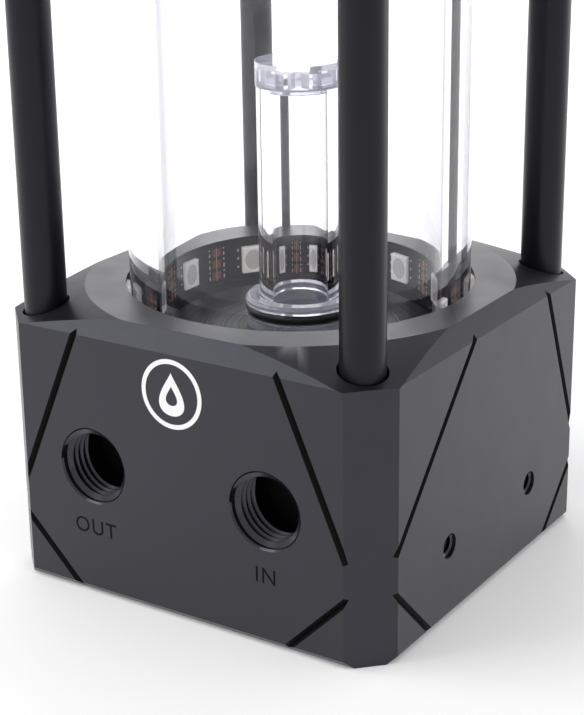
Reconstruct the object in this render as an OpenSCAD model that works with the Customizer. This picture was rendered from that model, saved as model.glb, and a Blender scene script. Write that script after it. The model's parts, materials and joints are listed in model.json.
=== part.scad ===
// Coolant pump reservoir: a square base block holds a glass tank tube, a light
// strip around its foot, two threaded ports and a sealed pump pressed in from
// below. Four sleeved tie rods clamp the tube under a top cap of the same form.
// The origin is the centre of the base block's foot, +Z is up, the ports face -Y.

/* [Blocks] */
// Width of the base block and the top cap across their flat faces
block_w = 77; // [75:0.5:84]
// Height of the base block, foot to land
base_h = 50.6; // [48:0.1:60]
// Height of the top cap, land to crown
cap_h = 26; // [24:0.5:36]
// Leg of the upright chamfer on each corner
corner_cut = 6.3; // [4.5:0.1:6.8]
// Chamfer along the foot of the base and the crown of the cap
foot_chamfer = 1.3; // [0.5:0.1:2.5]
// Height that each side bevel takes off a face
bevel_drop = 3.2; // [1.5:0.1:4]
// Depth that each side bevel takes off the land
bevel_run = 2.45; // [1:0.05:3]
// Radius of the flat land around the tube
land_r = 37.9; // [36.5:0.1:39]
// Fall of the cone between the land and the corner, in degrees
cone_fall = 15.4; // [5:0.1:18]

/* [Engraved lines] */
// Width of each V line on the faces
line_w = 1.3; // [0.8:0.1:2]
// Height at which the short lines meet the corners
line_short_z = 11.7; // [9:0.1:14]
// Inset of the short lines at the foot, from the corner edge
line_short_run = 10.3; // [8:0.1:12]
// Height at which the long lines meet the corners
line_long_z = 19.7; // [16:0.1:24]
// Distance from the centre line at which the port face's long lines start
line_long_x = 20.2; // [16:0.1:24]
// Distance from the centre line at which a side face's steep line starts
line_steep_x = 20.7; // [16:0.1:24]
// Distance from the centre line at which a side face's slanted line starts
line_slant_x = 7.5; // [4:0.1:12]

/* [Tank tube] */
// Outside diameter of the glass tube
tube_od = 60; // [56:0.5:60]
// Wall of the glass tube
tube_wall = 5; // [4:0.1:5.5]
// Length of the glass tube
tube_l = 130; // [100:1:200]
// Depth of the recess from the land to the tank floor
recess_d = 8.4; // [8:0.1:9.5]
// Depth of the tube groove below the tank floor
groove_d = 4.8; // [3.5:0.1:5]
// Height of each pressed tube seal
seal_h = 1.8; // [1.2:0.1:2.4]
// Side clearance of the tube in its groove
tube_clear = 0.15; // [0.1:0.05:0.3]
// Side clearance of the tube in the mouth of each block
mouth_clear = 0.75; // [0.4:0.05:1]

/* [Light strip] */
// Width of the flexible light strip
tape_w = 7.4; // [7:0.1:7.5]
// Thickness of the flexible light strip
tape_t = 0.3; // [0.2:0.05:0.4]
// Number of light packages on the strip
led_count = 10; // [6:1:10]
// Angle from one light package to the next
led_pitch = 32.7; // [24:0.1:33]
// Angle of the first light package, anticlockwise from +X
led_start = -53.8; // [-60:0.1:-45]
// Side of a square light package
led_w = 5; // [3.5:0.1:5.2]
// Thickness of a light package
led_t = 1.35; // [0.8:0.05:1.4]

/* [Riser] */
// Outside diameter of the clear riser tube
riser_od = 14.5; // [12:0.1:16]
// Bore of the clear riser tube
riser_id = 9.8; // [8:0.1:10.5]
// Height of the riser tube's end above the tank floor
riser_h = 42.8; // [30:0.1:60]
// Diameter of the riser foot's two collars
foot_d = 19.4; // [18.6:0.1:21]
// Height of the riser foot above the tank floor
foot_h = 5.8; // [5.4:0.1:8]
// Thickness of the seal between the collars
foot_seal_t = 1.8; // [1.4:0.1:2]
// Number of windows around the riser's cap
window_n = 8; // [5:1:9]
// Width of each window
window_w = 2.2; // [1.5:0.1:2.6]
// Height of each window
window_h = 2.6; // [2:0.1:4]
// Thickness of the lid over the windows
lid_t = 1.3; // [0.8:0.1:2]

/* [Tie rods] */
// Inset of each rod's axis from the faces of the blocks
rod_inset = 6.8; // [6.6:0.1:7.6]
// Outside diameter of the rod sleeves
sleeve_d = 7.4; // [6.6:0.1:8]
// Radial gap between a sleeve and its socket
sleeve_gap = 0.4; // [0.2:0.05:0.5]
// Depth of each sleeve's socket below the land
socket_d = 6; // [4.5:0.1:8]
// Thread diameter of the tie rods
rod_d = 4; // [3:0.1:4.4]
// Length of thread in the base block
rod_grip = 9; // [6:0.5:12]
// Height of the cap nuts
nut_h = 5.4; // [4:0.1:6]

/* [Ports] */
// Major diameter of the port thread, G1/4
port_d = 13.16; // [12.5:0.01:13.5]
// Depth of the threaded ports in the base
port_depth = 10.5; // [9:0.1:10.8]
// Distance between the two ports
port_pitch = 35; // [33:0.5:36]
// Height of the ports' axes above the foot
port_z = 24.1; // [23.5:0.1:25]
// Mouth diameter of each port's countersink
port_mouth = 13.8; // [13.6:0.1:15]
// Diameter of the coolant ducts inside the base
duct_d = 6; // [4:0.1:6.6]
// Distance of each top port's axis from the middle of the cap
top_port_x = 13.5; // [12.5:0.5:14.5]

/* [Side mount] */
// Diameter of the two mounting threads, M4
mount_d = 4; // [3:0.1:5]
// Distance between the two mounting threads
mount_pitch = 30; // [24:0.5:34]
// Height of the mounting threads above the foot
mount_z = 13.65; // [12.5:0.05:15]
// Depth of the mounting threads
mount_depth = 5.5; // [4:0.1:6]

/* [Pump] */
// Radius of the pump body in its upper pocket
pump_r = 27; // [26.6:0.1:27.4]
// Height of the pump's top face above the foot
pump_top = 20.4; // [20:0.1:20.8]
// Height of the volute chamber
volute_h = 7; // [6:0.1:7.2]
// Outside radius of the impeller
impeller_r = 17; // [14:0.1:18.5]
// Number of impeller blades
blade_n = 7; // [5:1:9]
// Thickness of each impeller blade
blade_t = 1.2; // [0.8:0.1:1.6]
// Radius of the pump shaft
shaft_r = 1.5; // [1:0.1:1.7]
// Running clearance between the shaft and its bush
shaft_clear = 0.05; // [0.02:0.01:0.1]
// Radius of the rotor magnet
magnet_r = 11.2; // [9:0.1:11.4]
// Wall of the can between the rotor and the stator
can_wall = 0.8; // [0.6:0.1:0.9]
// Number of stator teeth
tooth_n = 6; // [3:1:6]
// Radius of the clamp ring and the motor flange
ring_r = 32.8; // [32.6:0.1:33]
// Number of clamp screws
screw_n = 4; // [3:1:4]
// Radius of the clamp screws' circle
screw_pcd_r = 30; // [29.8:0.05:30.1]

/* [Top plugs] */
// Diameter of each plug's head
plug_d = 18; // [17.6:0.1:19]
// Height of each plug's head
plug_h = 4; // [3:0.1:6]
// Thread length of each plug
plug_grip = 6; // [4:0.1:7]
// Width across the flats of the plugs' hexagon socket
plug_key = 6; // [5:0.5:8]

/* [Hidden] */
$fn = 96;

e = 0.01;                 // overrun of cuts past the face that they open
touch = 0.05;             // clearance between glued or threaded pieces of one body
half_w = block_w / 2;
rod_xy = half_w - rod_inset;

// Heights of the stack
floor_z = base_h - recess_d;
groove_z = floor_z - groove_d;
tube_z = groove_z + seal_h;
tube_r = tube_od / 2;
tube_in_r = tube_r - tube_wall;
cap_z = tube_z + tube_l + seal_h - recess_d - groove_d;
crown_z = cap_z + cap_h;
ceiling_z = cap_z + recess_d;
mouth_r = tube_r + mouth_clear;

// Light strip
lip_h = recess_d - tape_w - 0.2;   // lip that hides the strip's upper edge
tape_gap = 0.15;                   // clearance around the strip and its packages
led_face_r = tube_r + tape_gap;
led_back_r = led_face_r + led_t;
tape_in_r = norm([led_back_r, led_w / 2]) + touch;
tape_r = tape_in_r + tape_t;
strip_groove_r = tape_r + touch;
tape_z = floor_z + touch;
led_z = tape_z + tape_w / 2;
strip_hole_r = 1.2;                // way down for the strip's leads
strip_hole_y = -tube_r - 1.8;

// Riser
riser_r = riser_od / 2;
riser_in_r = riser_id / 2;
foot_r = foot_d / 2;
collar_h = (foot_h - foot_seal_t) * 0.35;
foot_groove_r = riser_r + 0.6;
foot_shoulder_z = floor_z + 1.6;   // seat of the riser tube in its foot
spigot_r = riser_in_r + 2.1;       // spigot of the foot in the tank floor
spigot_l = 5;
riser_top = floor_z + riser_h;
cap_r = riser_r + 0.15;
cap_collar_h = 0.3;                // collar of the cap under its windows
cap_spigot_r = riser_in_r - touch;
cap_spigot_l = 1;
cap_spigot_wall = 0.9;
window_turn = 11;                  // angle of the first window

// Ducts in the base
duct_r = duct_d / 2;
port_r = port_d / 2;
port_x = port_pitch / 2;
port_end_y = -half_w + port_depth;
volute_r = port_x + duct_r + 0.4;  // the outlet duct leaves it along a tangent
volute_top = pump_top + volute_h;
eye_r = 4.4;                       // suction eye over the impeller
suction_r = 3.2;                   // suction duct from the tank floor to the eye
suction_x = -5;
suction_y = -16.5;
duct_wall = 1.2;                   // wall between the suction duct and the volute
suction_z = volute_top + duct_wall + suction_r;
return_r = 2.6;                    // return duct from the port to the riser
return_drop = 3.2;
return_z = floor_z - return_drop;
return_rise = 2.9;
return_port_z = port_z + return_rise;

// Pump stack
step_z = 14;                       // step between the wide and the narrow pocket
flange_t = 3;
ring_t = 3;
housing_z = 1.4;                   // the motor stays clear of the floor
housing_r = pump_r - 1;
housing_wall = 1.4;
housing_floor = 1.6;
can_flange_t = 3;
can_flange_z = pump_top - can_flange_t;
can_r = magnet_r + 0.5;
can_floor_z = 4;
can_floor_t = 1;
rotor_z = 6.5;                     // underside of the rotor magnet
magnet_h = 11;
bush_r = shaft_r + 1.5;
hub_r = 6;
impeller_z = pump_top + 0.5;
disc_t = 1.2;
blade_h = volute_h - 0.5 - disc_t - 0.8;
hub_top = impeller_z + disc_t + blade_h * 0.6;
can_seal_land = 1.6;               // land between the volute and the can's seal
can_seal_t = 1.35;
can_seal_r = volute_r + can_seal_land + can_seal_t / 2;
can_groove = can_seal_t + 0.1;
can_boss_h = 1;                    // boss that holds the shaft's foot
shaft_z = can_floor_z + 0.4;
stator_in_r = can_r + can_wall + 0.3;
stator_r = housing_r - housing_wall - 0.2;
stator_h = 8.6;
tooth_w = 4;
yoke_t = 3.6;
tip_t = 1.2;
tip_gap = 2.4;
coil_t = 1.7;
stator_z = can_flange_z - 0.3 - coil_t - stator_h;
board_z = housing_z + housing_floor + 0.3;
board_t = 1.2;
screw_r = 1.5;
screw_l = 6;                       // length of thread in the base block
screw_head_r = 2.6;
screw_head_h = 1.8;
screw_key = 2;
screw_turn = 45;                   // angle of the first clamp screw
lead_slot_w = 6;                   // slot in the foot for the pump's leads
lead_slot_h = 3.6;

// Top cap
plug_r = port_r - 0.06;
plug_seal_r = port_r + 1.1;
plug_seal_t = 1.4;
plug_groove = plug_seal_t + 0.2;   // the seal keeps a clearance of 0.1 in its groove
top_port_depth = plug_grip + 1.2;
throat_r = port_r - 0.86;          // core of the port's thread, drilled right through
nut_sink = nut_h + 0.6;
nut_key = 3;

// ---------------------------------------------------------------- shared forms

// Square with its corners cut off
module cut_square(w, c) {
    h = w / 2;
    polygon([[h - c, -h], [h, -h + c], [h, h - c], [h - c, h],
             [-h + c, h], [-h, h - c], [-h, -h + c], [-h + c, -h]]);
}

// Side profile of a block: a chamfered foot at z = 0 and a bevelled land at z = h
module side_profile(h) {
    polygon([[-half_w + foot_chamfer, 0], [half_w - foot_chamfer, 0], [half_w, foot_chamfer],
             [half_w, h - bevel_drop], [half_w - bevel_run, h],
             [-half_w + bevel_run, h], [-half_w, h - bevel_drop], [-half_w, foot_chamfer]]);
}

// Block common to the base and the cap: four flat sides, cut corners, side bevels
// and a shallow cone that falls from the round land to the corners
module block_form(h) {
    reach = block_w;
    intersection() {
        linear_extrude(h) cut_square(block_w, corner_cut);
        translate([0, half_w, 0]) rotate([90, 0, 0]) linear_extrude(block_w) side_profile(h);
        translate([-half_w, 0, 0]) rotate([90, 0, 90]) linear_extrude(block_w) side_profile(h);
        rotate_extrude() polygon([[0, 0], [reach, 0], [reach, h - (reach - land_r) * tan(cone_fall)],
                                  [land_r, h], [0, h]]);
    }
}

// V-shaped bar along the line from p to q, given as [x, z] in the plane y = 0
module line_bar(p, q) {
    d = q - p;
    side = line_w / sqrt(2);
    overrun = line_w;
    translate([p[0], 0, p[1]]) rotate([0, atan2(d[0], d[1]), 0])
        translate([0, 0, norm(d) / 2]) rotate([0, 0, 45])
            cube([side, side, norm(d) + 2 * overrun], center = true);
}

// The four engraved lines of one face; left_x and right_x are where the long lines start
module face_lines(left_x, right_x) {
    edge = half_w - corner_cut;
    top = base_h - bevel_drop;
    for (s = [[-1, left_x], [1, right_x]]) {
        line_bar([s[0] * s[1], top], [s[0] * edge, line_long_z]);
        line_bar([s[0] * edge, line_short_z], [s[0] * (edge - line_short_run), foot_chamfer]);
    }
}

// Places children at the four rod axes
module at_rods() {
    for (a = [0:90:270]) rotate([0, 0, a]) translate([rod_xy, rod_xy, 0]) children();
}

// Places children at the clamp screws, on the height z
module at_screws(z) {
    for (i = [0:screw_n - 1]) rotate([0, 0, screw_turn + i * 360 / screw_n])
        translate([screw_pcd_r, 0, z]) children();
}

// Threaded port with a countersunk mouth, opening towards +Z from depth d
module port_cut(d) {
    translate([0, 0, -d]) cylinder(r = port_r, h = d + e);
    sink = (port_mouth - port_d) / 2;
    translate([0, 0, -sink]) cylinder(r1 = port_r, r2 = port_mouth / 2 + e, h = sink + e);
}

// Flat ring from z to z + h
module ring(r_out, r_in, z, h) {
    translate([0, 0, z]) difference() {
        cylinder(r = r_out, h = h);
        translate([0, 0, -1]) cylinder(r = r_in, h = h + 2);
    }
}

// Round seal of thickness t lying on the height z
module cord_ring(r, t, z) {
    translate([0, 0, z + t / 2]) rotate_extrude() translate([r, 0]) circle(r = t / 2, $fn = 24);
}

// Hexagon hole, open towards +Z
module key_socket(across, depth) {
    translate([0, 0, -depth]) cylinder(r = across / sqrt(3), h = depth + e, $fn = 6);
}

// Straight drilling of radius r between the points p and q
module drilling(p, q, r) {
    d = q - p;
    translate(p) rotate([0, acos(d[2] / norm(d)), atan2(d[1], d[0])]) cylinder(r = r, h = norm(d));
}

// ---------------------------------------------------------------- base block

// Recess, strip groove and tube groove around the tank floor
module tank_recess() {
    translate([0, 0, floor_z]) cylinder(r = mouth_r, h = recess_d + e);
    translate([0, 0, floor_z]) cylinder(r = strip_groove_r, h = recess_d - lip_h);
    ring(tube_r + tube_clear, tube_in_r - tube_clear, groove_z, groove_d + e);
    translate([0, strip_hole_y, step_z - e]) cylinder(r = strip_hole_r, h = floor_z - step_z + 2 * e);
}

// Coolant ways: suction from the tank to the impeller, return from the port to the riser
module coolant_ways() {
    well_z = suction_z - suction_r - 0.2;
    drilling([suction_x, suction_y, well_z], [suction_x, suction_y, floor_z + e], suction_r + 0.3);
    drilling([suction_x, suction_y, suction_z], [0, 0, suction_z], suction_r);
    translate([0, 0, volute_top - e]) cylinder(r = eye_r, h = suction_z - volute_top + e);
    translate([0, 0, floor_z - spigot_l]) cylinder(r = spigot_r + touch, h = spigot_l + e);
    drilling([port_x, port_end_y - 1, return_port_z], [0, 0, return_z], return_r);
    translate([0, 0, pump_top - e]) cylinder(r = volute_r, h = volute_h + e);
    drilling([-port_x, port_end_y - 1, port_z], [-port_x, 0, port_z], duct_r);
}

// Stepped pocket for the pump with its screw holes and lead slot
module pump_pocket() {
    translate([0, 0, -e]) cylinder(r = ring_r + 0.4, h = step_z + e);
    cylinder(r = pump_r + 0.2, h = pump_top);
    at_screws(step_z - e) cylinder(r = screw_r + touch, h = screw_l + 0.5);
    translate([-lead_slot_w / 2, 0, -e]) cube([lead_slot_w, half_w + 1, lead_slot_h + e]);
}

module base_block() {
    color([0.14, 0.14, 0.155]) difference() {
        block_form(base_h);
        tank_recess();
        coolant_ways();
        pump_pocket();
        for (s = [-1, 1]) translate([s * port_x, -half_w, port_z]) rotate([90, 0, 0]) port_cut(port_depth);
        at_rods() {
            translate([0, 0, base_h - socket_d]) cylinder(r = sleeve_d / 2 + sleeve_gap, h = socket_d + e);
            translate([0, 0, base_h - socket_d - rod_grip]) cylinder(r = rod_d / 2 + touch, h = rod_grip + e);
        }
        for (s = [-1, 1]) translate([half_w, s * mount_pitch / 2, mount_z]) rotate([0, 90, 0]) {
            translate([0, 0, -mount_depth]) cylinder(d = mount_d, h = mount_depth + e);
            translate([0, 0, -0.2]) cylinder(d1 = mount_d, d2 = mount_d + 0.42, h = 0.21);
        }
        for (a = [0, 180]) rotate([0, 0, a]) {
            translate([0, -half_w, 0]) face_lines(line_long_x, line_long_x);
            translate([half_w, 0, 0]) rotate([0, 0, 90]) face_lines(line_slant_x, line_steep_x);
        }
    }
}

// ---------------------------------------------------------------- tank

module glass_tube() {
    color([0.85, 0.93, 0.95, 0.35]) ring(tube_r, tube_in_r, tube_z, tube_l);
}

module lower_tube_seal() {
    color([0.05, 0.05, 0.05]) cord_ring(tube_r - tube_wall / 2, seal_h, groove_z);
}

module upper_tube_seal() {
    color([0.05, 0.05, 0.05]) cord_ring(tube_r - tube_wall / 2, seal_h, tube_z + tube_l);
}

module light_strip() {
    arc = led_count * led_pitch;
    color([0.1, 0.1, 0.1]) translate([0, 0, tape_z]) rotate([0, 0, led_start - led_pitch / 2])
        rotate_extrude(angle = arc) translate([tape_in_r, 0]) square([tape_t, tape_w]);
}

module light_packages() {
    color([0.95, 0.95, 0.92]) for (i = [0:led_count - 1])
        rotate([0, 0, led_start + i * led_pitch])
            translate([led_face_r, -led_w / 2, led_z - led_w / 2]) cube([led_t, led_w, led_w]);
}

// ---------------------------------------------------------------- riser

module riser_tube() {
    color([0.9, 0.95, 0.97, 0.4]) ring(riser_r, riser_in_r, foot_shoulder_z, riser_top - foot_shoulder_z);
}

// Two collars with a seal groove between them, on a spigot that seats in the tank floor
module riser_foot() {
    z0 = floor_z;
    z1 = floor_z + foot_h - collar_h - foot_seal_t;
    z2 = z1 + foot_seal_t;
    z3 = floor_z + foot_h;
    bore = riser_r + touch;
    color([0.9, 0.95, 0.97, 0.4]) rotate_extrude() polygon([
        [riser_in_r, z0 - spigot_l + 0.2], [spigot_r, z0 - spigot_l + 0.2], [spigot_r, z0],
        [foot_r, z0], [foot_r, z1], [foot_groove_r, z1], [foot_groove_r, z2], [foot_r, z2],
        [foot_r, z3 - 0.5], [foot_r - 0.5, z3], [bore, z3], [bore, foot_shoulder_z],
        [riser_in_r, foot_shoulder_z]]);
}

module riser_seal() {
    z1 = floor_z + foot_h - collar_h - foot_seal_t;
    color([0.05, 0.05, 0.05]) cord_ring(foot_r - foot_seal_t / 2, foot_seal_t, z1);
}

// Closed lid on a ring of posts, so the coolant leaves sideways through the windows
module riser_cap() {
    cap_in_r = cap_spigot_r - cap_spigot_wall;
    lid_z = riser_top + cap_collar_h + window_h;
    color([0.9, 0.95, 0.97, 0.4]) {
        difference() {
            union() {
                ring(cap_r, cap_in_r, riser_top, cap_collar_h + window_h + e);
                ring(cap_spigot_r, cap_in_r, riser_top - cap_spigot_l, cap_spigot_l + e);
            }
            for (i = [0:window_n - 1]) rotate([0, 0, i * 360 / window_n + window_turn])
                translate([0, -window_w / 2, riser_top + cap_collar_h])
                    cube([riser_od, window_w, window_h + 1]);
        }
        translate([0, 0, lid_z]) cylinder(r = cap_r, h = lid_t);
    }
}

// ---------------------------------------------------------------- tie rods

module rod_sleeve(a) {
    color([0.17, 0.17, 0.18]) rotate([0, 0, a]) translate([rod_xy, rod_xy, 0])
        ring(sleeve_d / 2, rod_d / 2 + touch, base_h - socket_d, cap_z - base_h + 2 * socket_d);
}

module front_left_sleeve() { rod_sleeve(180); }
module front_right_sleeve() { rod_sleeve(270); }
module rear_right_sleeve() { rod_sleeve(0); }
module rear_left_sleeve() { rod_sleeve(90); }

module tie_rods() {
    foot = base_h - socket_d - rod_grip + 0.4;
    color([0.6, 0.6, 0.62]) at_rods()
        translate([0, 0, foot]) cylinder(d = rod_d, h = crown_z - 0.6 - nut_h / 2 - foot);
}

module cap_nuts() {
    color([0.1, 0.1, 0.11]) at_rods() difference() {
        translate([0, 0, crown_z - nut_sink]) cylinder(r = sleeve_d / 2, h = nut_h);
        translate([0, 0, crown_z - nut_sink - e]) cylinder(r = rod_d / 2 + touch, h = nut_h / 2 + touch);
        translate([0, 0, crown_z - nut_sink + nut_h]) key_socket(nut_key, nut_h / 2 - 0.4);
    }
}

// ---------------------------------------------------------------- top cap

module top_cap() {
    color([0.14, 0.14, 0.155]) difference() {
        translate([0, 0, crown_z]) mirror([0, 0, 1]) block_form(cap_h);
        translate([0, 0, cap_z - e]) cylinder(r = mouth_r, h = recess_d + e);
        ring(tube_r + tube_clear, tube_in_r - tube_clear, ceiling_z - e, groove_d + e);
        at_rods() {
            translate([0, 0, cap_z - e]) cylinder(r = sleeve_d / 2 + sleeve_gap, h = socket_d + e);
            translate([0, 0, cap_z]) cylinder(r = rod_d / 2 + touch, h = cap_h);
            translate([0, 0, crown_z - nut_sink]) cylinder(r = sleeve_d / 2 + sleeve_gap, h = nut_sink + e);
        }
        for (s = [-1, 1]) translate([s * top_port_x, 0, crown_z]) {
            port_cut(top_port_depth);
            translate([0, 0, -cap_h]) cylinder(r = throat_r, h = cap_h);
        }
    }
}

// Stop plug: flat head with a hexagon socket, thread below, seal groove under the head
module stop_plug(x) {
    color([0.12, 0.12, 0.13]) translate([x, 0, crown_z]) difference() {
        union() {
            rotate_extrude() polygon([[0, touch], [plug_d / 2, touch], [plug_d / 2, plug_h - 0.6],
                                      [plug_d / 2 - 0.6, plug_h], [0, plug_h]]);
            translate([0, 0, -plug_grip]) cylinder(r = plug_r, h = plug_grip + plug_h / 2);
        }
        ring(plug_seal_r + plug_groove / 2, plug_seal_r - plug_groove / 2, -e, plug_groove + e);
        translate([0, 0, plug_h]) key_socket(plug_key, plug_h);
    }
}

module plug_seal(x) {
    color([0.05, 0.05, 0.05]) translate([x, 0, crown_z])
        cord_ring(plug_seal_r, plug_seal_t, touch);
}

module fill_plug() { stop_plug(-top_port_x); }
module fill_plug_seal() { plug_seal(-top_port_x); }
module spare_plug() { stop_plug(top_port_x); }
module spare_plug_seal() { plug_seal(top_port_x); }

// ---------------------------------------------------------------- pump

// Cup for the stator with a flange that the clamp ring presses against the pocket's step
module motor_housing() {
    housing_in_r = housing_r - housing_wall;
    floor_top = housing_z + housing_floor;
    color([0.2, 0.2, 0.21]) difference() {
        union() {
            translate([0, 0, housing_z]) cylinder(r = housing_r, h = can_flange_z - housing_z);
            translate([0, 0, step_z - flange_t]) cylinder(r = ring_r, h = flange_t);
        }
        translate([0, 0, floor_top]) cylinder(r = housing_in_r, h = can_flange_z);
        at_screws(0) cylinder(r = screw_r + 0.2, h = step_z + 1);
        strip_lead_notch();
        translate([-lead_slot_w / 2, housing_in_r - 1, floor_top])
            cube([lead_slot_w, housing_wall + 2, board_z + board_t + 1 - floor_top]);
    }
}

// Notch through the motor flange and the clamp ring, under the hole for the strip's leads
module strip_lead_notch() {
    translate([-strip_hole_r, -ring_r - 1, 0])
        cube([2 * strip_hole_r, ring_r + 1 + strip_hole_y + strip_hole_r, step_z + 1]);
}

// Flange under the volute with a thin cup that keeps the coolant off the stator
module isolation_can() {
    inner_z = can_floor_z + can_floor_t;
    color([0.75, 0.74, 0.7]) difference() {
        union() {
            translate([0, 0, can_flange_z]) cylinder(r = pump_r, h = can_flange_t);
            translate([0, 0, can_floor_z]) cylinder(r = can_r + can_wall, h = can_flange_z - can_floor_z + e);
        }
        difference() {
            translate([0, 0, inner_z]) cylinder(r = can_r, h = pump_top);
            translate([0, 0, can_floor_z]) cylinder(r = bush_r, h = can_floor_t + can_boss_h);
        }
        translate([0, 0, shaft_z]) cylinder(r = shaft_r, h = pump_top);
        ring(can_seal_r + can_groove / 2, can_seal_r - can_groove / 2, pump_top - can_seal_t, can_seal_t + e);
    }
}

module can_seal() {
    color([0.05, 0.05, 0.05]) cord_ring(can_seal_r, can_seal_t, pump_top - can_seal_t);
}

module pump_shaft() {
    color([0.9, 0.9, 0.86]) translate([0, 0, shaft_z]) cylinder(r = shaft_r, h = volute_top - 1 - shaft_z);
}

// Outline of the stator: a yoke with teeth that end in pole tips
module stator_outline() {
    difference() {
        circle(r = stator_r);
        circle(r = stator_r - yoke_t);
    }
    difference() {
        union() {
            for (i = [0:tooth_n - 1]) rotate(i * 360 / tooth_n)
                translate([stator_in_r, -tooth_w / 2]) square([stator_r - stator_in_r - yoke_t / 2, tooth_w]);
            difference() {
                circle(r = stator_in_r + tip_t);
                for (i = [0:tooth_n - 1]) rotate((i + 0.5) * 360 / tooth_n)
                    translate([0, -tip_gap / 2]) square([stator_r, tip_gap]);
            }
        }
        circle(r = stator_in_r);
    }
}

module stator_core() {
    color([0.5, 0.5, 0.52]) translate([0, 0, stator_z]) linear_extrude(stator_h) stator_outline();
}

module stator_windings() {
    r0 = stator_in_r + tip_t + 0.4;
    r1 = stator_r - yoke_t - 0.9;
    color([0.72, 0.4, 0.2]) for (i = [0:tooth_n - 1]) rotate([0, 0, i * 360 / tooth_n])
        translate([r0, 0, stator_z]) difference() {
            translate([0, -tooth_w / 2 - coil_t, -coil_t])
                cube([r1 - r0, tooth_w + 2 * coil_t, stator_h + 2 * coil_t]);
            translate([-1, -tooth_w / 2 - touch, -touch])
                cube([r1 - r0 + 2, tooth_w + 2 * touch, stator_h + 2 * touch]);
        }
}

module driver_board() {
    color([0.1, 0.3, 0.15]) ring(stator_r, can_r + can_wall + 0.3, board_z, board_t);
}

module rotor_magnet() {
    color([0.25, 0.24, 0.24]) ring(magnet_r, bush_r + touch, rotor_z, magnet_h);
}

module rotor_bush() {
    bush_z = can_floor_z + can_floor_t + can_boss_h + 0.3;
    color([0.15, 0.15, 0.16]) ring(bush_r, shaft_r + shaft_clear, bush_z, hub_top - bush_z);
}

// One backward-curved blade: the stretch of a thin round arc between the hub and the rim
module blade() {
    arc_r = impeller_r * 0.72;
    intersection() {
        difference() {
            circle(r = impeller_r - 0.2);
            circle(r = hub_r + 0.4);
        }
        translate([arc_r * 0.62, arc_r * 0.9]) difference() {
            circle(r = arc_r + blade_t / 2);
            circle(r = arc_r - blade_t / 2);
        }
        translate([0, -impeller_r]) square([2 * impeller_r, impeller_r * 1.9]);
    }
}

module impeller() {
    magnet_top = rotor_z + magnet_h;
    color([0.82, 0.8, 0.74]) {
        difference() {
            union() {
                translate([0, 0, magnet_top]) cylinder(r = hub_r, h = impeller_z - magnet_top + e);
                translate([0, 0, impeller_z]) cylinder(r = impeller_r, h = disc_t);
                translate([0, 0, impeller_z]) cylinder(r = bush_r + 1.4, h = hub_top - impeller_z);
            }
            translate([0, 0, rotor_z]) cylinder(r = bush_r + touch, h = volute_top);
        }
        translate([0, 0, impeller_z + disc_t - e]) linear_extrude(blade_h + e)
            for (i = [0:blade_n - 1]) rotate(i * 360 / blade_n) blade();
    }
}

module clamp_ring() {
    color([0.55, 0.55, 0.57]) difference() {
        ring(ring_r, housing_r + 0.3, step_z - flange_t - ring_t, ring_t);
        at_screws(0) cylinder(r = screw_r + 0.2, h = step_z);
        strip_lead_notch();
    }
}

module clamp_screws() {
    head_z = step_z - flange_t - ring_t;
    color([0.65, 0.65, 0.66]) at_screws(head_z) difference() {
        union() {
            translate([0, 0, -e]) cylinder(r = screw_r, h = ring_t + flange_t + screw_l + e);
            translate([0, 0, -screw_head_h]) cylinder(r = screw_head_r, h = screw_head_h);
        }
        translate([0, 0, -screw_head_h]) mirror([0, 0, 1]) key_socket(screw_key, screw_head_h / 2);
    }
}

base_block();
glass_tube();
lower_tube_seal();
upper_tube_seal();
light_strip();
light_packages();
riser_tube();
riser_foot();
riser_seal();
riser_cap();
front_left_sleeve();
front_right_sleeve();
rear_right_sleeve();
rear_left_sleeve();
tie_rods();
cap_nuts();
top_cap();
fill_plug();
fill_plug_seal();
spare_plug();
spare_plug_seal();
motor_housing();
isolation_can();
can_seal();
pump_shaft();
stator_core();
stator_windings();
driver_board();
rotor_magnet();
rotor_bush();
impeller();
clamp_ring();
clamp_screws();
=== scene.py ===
"""Dresses the coolant pump reservoir: finishes, glass, light strip, threads, marks and studio."""
import json
import math

import bmesh
import bpy
import numpy as np
from mathutils import Matrix, Vector

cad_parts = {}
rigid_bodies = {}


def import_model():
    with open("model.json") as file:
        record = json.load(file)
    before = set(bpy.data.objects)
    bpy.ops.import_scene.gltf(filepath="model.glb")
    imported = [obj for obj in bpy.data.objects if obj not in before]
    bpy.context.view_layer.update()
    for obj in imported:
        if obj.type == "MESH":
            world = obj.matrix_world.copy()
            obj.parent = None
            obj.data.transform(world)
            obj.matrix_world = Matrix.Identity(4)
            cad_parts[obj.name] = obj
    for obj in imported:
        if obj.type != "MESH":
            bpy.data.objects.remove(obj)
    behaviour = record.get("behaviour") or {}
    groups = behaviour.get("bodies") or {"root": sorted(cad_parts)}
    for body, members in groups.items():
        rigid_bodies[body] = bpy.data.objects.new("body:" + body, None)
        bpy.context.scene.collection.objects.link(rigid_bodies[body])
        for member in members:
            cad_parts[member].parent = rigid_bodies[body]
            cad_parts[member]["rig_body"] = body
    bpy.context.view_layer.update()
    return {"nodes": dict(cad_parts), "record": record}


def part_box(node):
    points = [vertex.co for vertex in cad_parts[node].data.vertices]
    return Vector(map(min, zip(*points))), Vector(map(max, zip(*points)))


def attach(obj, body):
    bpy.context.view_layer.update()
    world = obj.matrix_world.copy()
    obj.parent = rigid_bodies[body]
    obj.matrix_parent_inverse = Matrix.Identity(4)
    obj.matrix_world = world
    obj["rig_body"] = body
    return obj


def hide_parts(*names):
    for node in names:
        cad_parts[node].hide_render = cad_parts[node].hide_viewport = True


bl_info = {
    "name": "Coolant pump reservoir",
    "version": (1, 0, 0),
    "blender": (4, 5, 0),
    "location": "View3D > Sidebar > Reservoir",
    "description": "Dresses a coolant pump reservoir with its finishes, threads, marks and studio",
    "category": "Object",
}

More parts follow.
